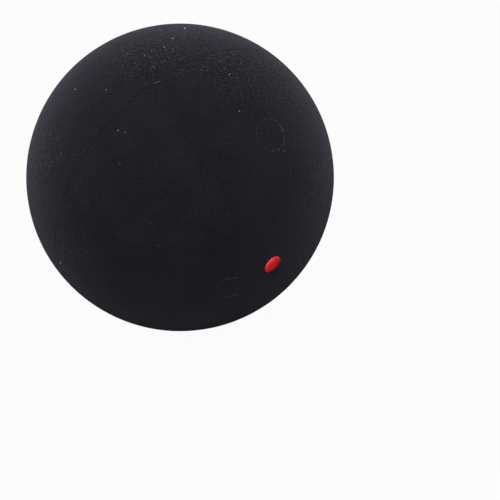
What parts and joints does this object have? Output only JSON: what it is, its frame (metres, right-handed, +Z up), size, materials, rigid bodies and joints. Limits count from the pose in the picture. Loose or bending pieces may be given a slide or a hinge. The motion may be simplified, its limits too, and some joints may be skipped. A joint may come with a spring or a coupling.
{
  "type": "squash ball",
  "caption": "Hollow rubber squash ball made of bonded half shells, with a raised speed dot and a printed band of slanted bars.",
  "frame": {"origin": "centre of the ball", "axes": "-Y points along the moulding axis to the speed dot and +Y to the middle of the print, so the seam lies in the XZ plane; +Z is up, square to the printed band"},
  "size_m": [0.04, 0.0405, 0.04],
  "materials": {
    "rubber": "moulded and buffed matt",
    "bond": "cured rubber solution, buffed matt",
    "dot_paint": "thick soft paint, satin",
    "print_ink": "pad-printed silver-white ink, slightly worn"
  },
  "bodies": {
    "root": {"dot_half_shell": "rubber", "print_half_shell": "rubber", "seam_bond": "bond", "speed_dot": "dot_paint", "print_band": "print_ink"}
  },
  "joints": []
}
